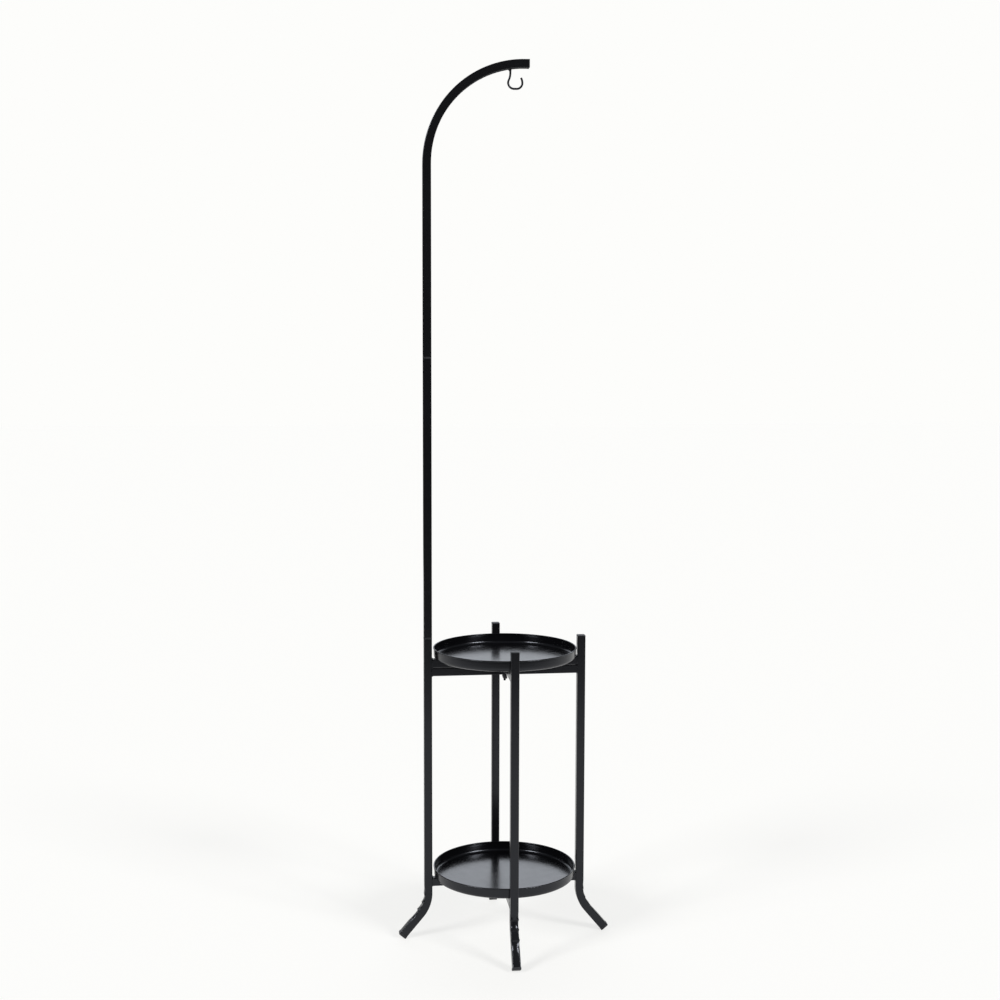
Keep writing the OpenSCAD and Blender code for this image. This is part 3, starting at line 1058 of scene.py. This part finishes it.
def make_world():
    """White where it is looked at; as light, a bright backdrop behind, a soft
    ceiling, and a dim room in front."""
    world = bpy.data.worlds.new("studio")
    bpy.context.scene.world = world
    world.use_nodes = True
    tree = world.node_tree
    tree.nodes.clear()
    camera = add_node(tree, "ShaderNodeLightPath").outputs["Is Camera Ray"]
    heading = add_node(tree, "ShaderNodeTexCoord").outputs["Generated"]
    facing = add_node(tree, "ShaderNodeVectorMath", {0: heading, 1: BACKDROP},
                      operation="DOT_PRODUCT").outputs["Value"]
    height = add_node(tree, "ShaderNodeSeparateXYZ", {0: heading}).outputs["Z"]
    backdrop = combined(tree, "MULTIPLY", ranged(tree, facing, BACKDROP_FACING, kind="SMOOTHSTEP"),
                        ranged(tree, height, BACKDROP_RISE, kind="SMOOTHSTEP"))
    room = ranged(tree, height, CEILING_RISE, (ROOM, CEILING))
    level = mixed_value(tree, backdrop, room, BACKDROP_GLOW)
    background = add_node(tree, "ShaderNodeBackground",
                          {"Color": mixed_colour(tree, camera, BACKDROP_COLOUR, WHITE),
                           "Strength": mixed_value(tree, camera, level, 1.0)})
    add_node(tree, "ShaderNodeOutputWorld", {"Surface": background.outputs[0]})


def make_sun(name, side):
    """A wide, soft lamp far off to one side of the camera."""
    data = bpy.data.lights.new(name, "SUN")
    data.angle = SUN_WIDTH
    data.energy = SUN_POWER
    heading = Matrix.Rotation(side * SUN_ANGLE, 3, "Z") @ -BACKDROP
    direction = heading * math.cos(SUN_RISE) + UP * math.sin(SUN_RISE)
    new_object(name, data).rotation_euler = direction.to_track_quat("Z", "Y").to_euler()


def make_camera():
    data = bpy.data.cameras.new("camera")
    data.lens = LENS
    data.sensor_width = SENSOR
    data.sensor_fit = "HORIZONTAL"
    camera = new_object("camera", data)
    camera.matrix_world = (
        Matrix.Rotation(-CAMERA_AZIMUTH, 4, "Z")
        @ Matrix.Translation((0, -CAMERA_DISTANCE, CAMERA_HEIGHT))
        @ Matrix.Rotation(-CAMERA_YAW, 4, "Z")
        @ Matrix.Rotation(math.pi / 2 - CAMERA_PITCH, 4, "X")
        @ Matrix.Rotation(CAMERA_ROLL, 4, "Z"))
    bpy.context.scene.camera = camera


# ---- The scene -------------------------------------------------------------

make_camera()
make_world()
make_floor()
make_sun("sun_left", -1)
make_sun("sun_right", 1)

for side in LEGS:
    make_leg(side)
    make_foot_cap(side)
for side in ("right", "front", "back"):
    make_leg_cap(side)
make_arm_cap()
make_joining_plug("plug_lower", "pole", "leg_left", "pole_tube")
make_joining_plug("plug_upper", "arm", "pole_tube", "pole_arm")
make_tray("upper", seed=1.0)
make_tray("lower", seed=2.6)
make_hook()
make_hook_bead()
make_bar_beads()
make_bolt()
make_washer()
make_wing_nut()

slots = {part["node"]: part["material_slot"] for part in frame["record"]["subparts"]}
for node, shown in frame["nodes"].items():
    shown.data.materials.clear()
    shown.data.materials.append(MATERIALS[slots[node]])

bpy.context.scene.view_settings.view_transform = "Standard"
